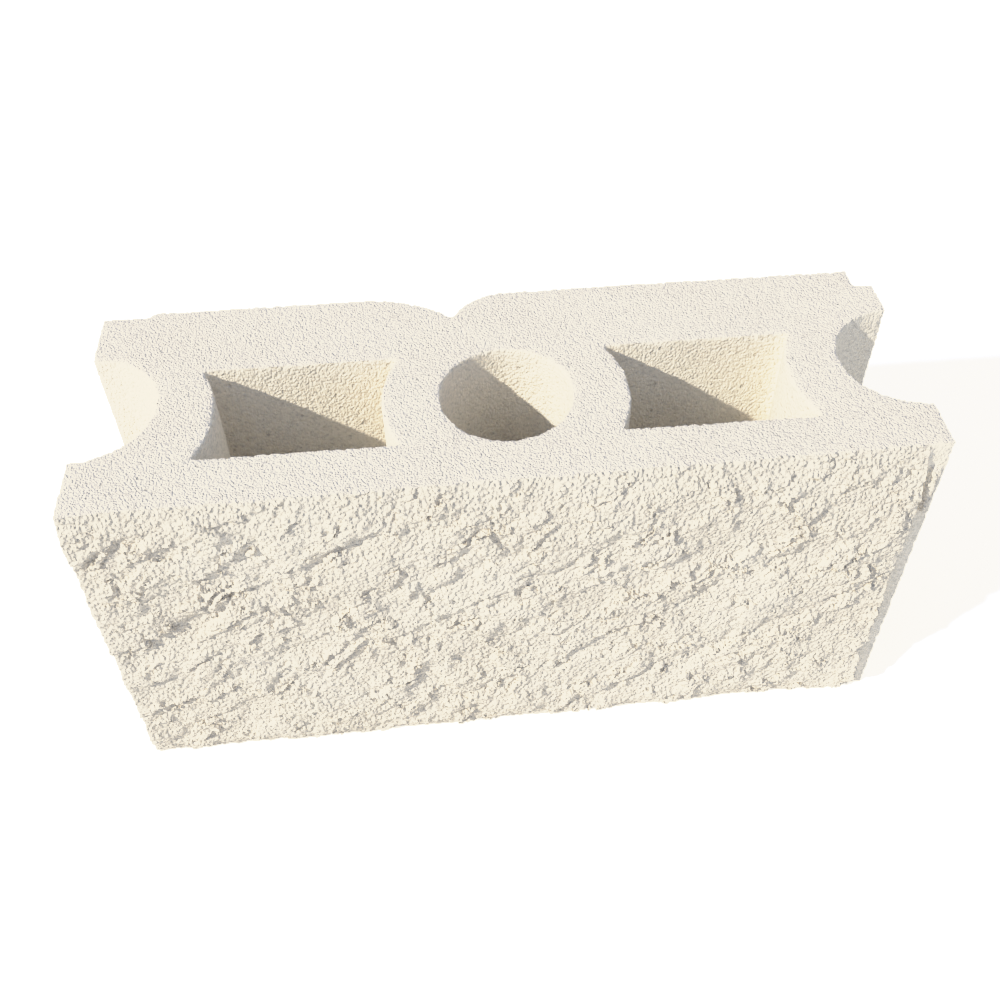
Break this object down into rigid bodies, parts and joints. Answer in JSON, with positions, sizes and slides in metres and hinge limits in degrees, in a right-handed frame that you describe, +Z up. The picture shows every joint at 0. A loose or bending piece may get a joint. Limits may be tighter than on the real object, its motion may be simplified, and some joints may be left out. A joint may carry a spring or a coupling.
{
  "type": "concrete block",
  "caption": "Hollow concrete masonry block with a rough split front face, open rectangular cores, a round hole between them, half-round recesses in its ends and a groove in its rear face.",
  "frame": {"origin": "middle of the bounding box, on the bottom bed face", "axes": "+X along the block's length towards the end with the corner notch, +Y to the plain rear face, away from the split face, +Z up through the cores"},
  "size_m": [0.39, 0.14, 0.19],
  "materials": {
    "concrete": "dry cast cream concrete, sandy on the moulded faces and granular on the split face"
  },
  "bodies": {
    "root": {"block": "concrete"}
  },
  "joints": []
}
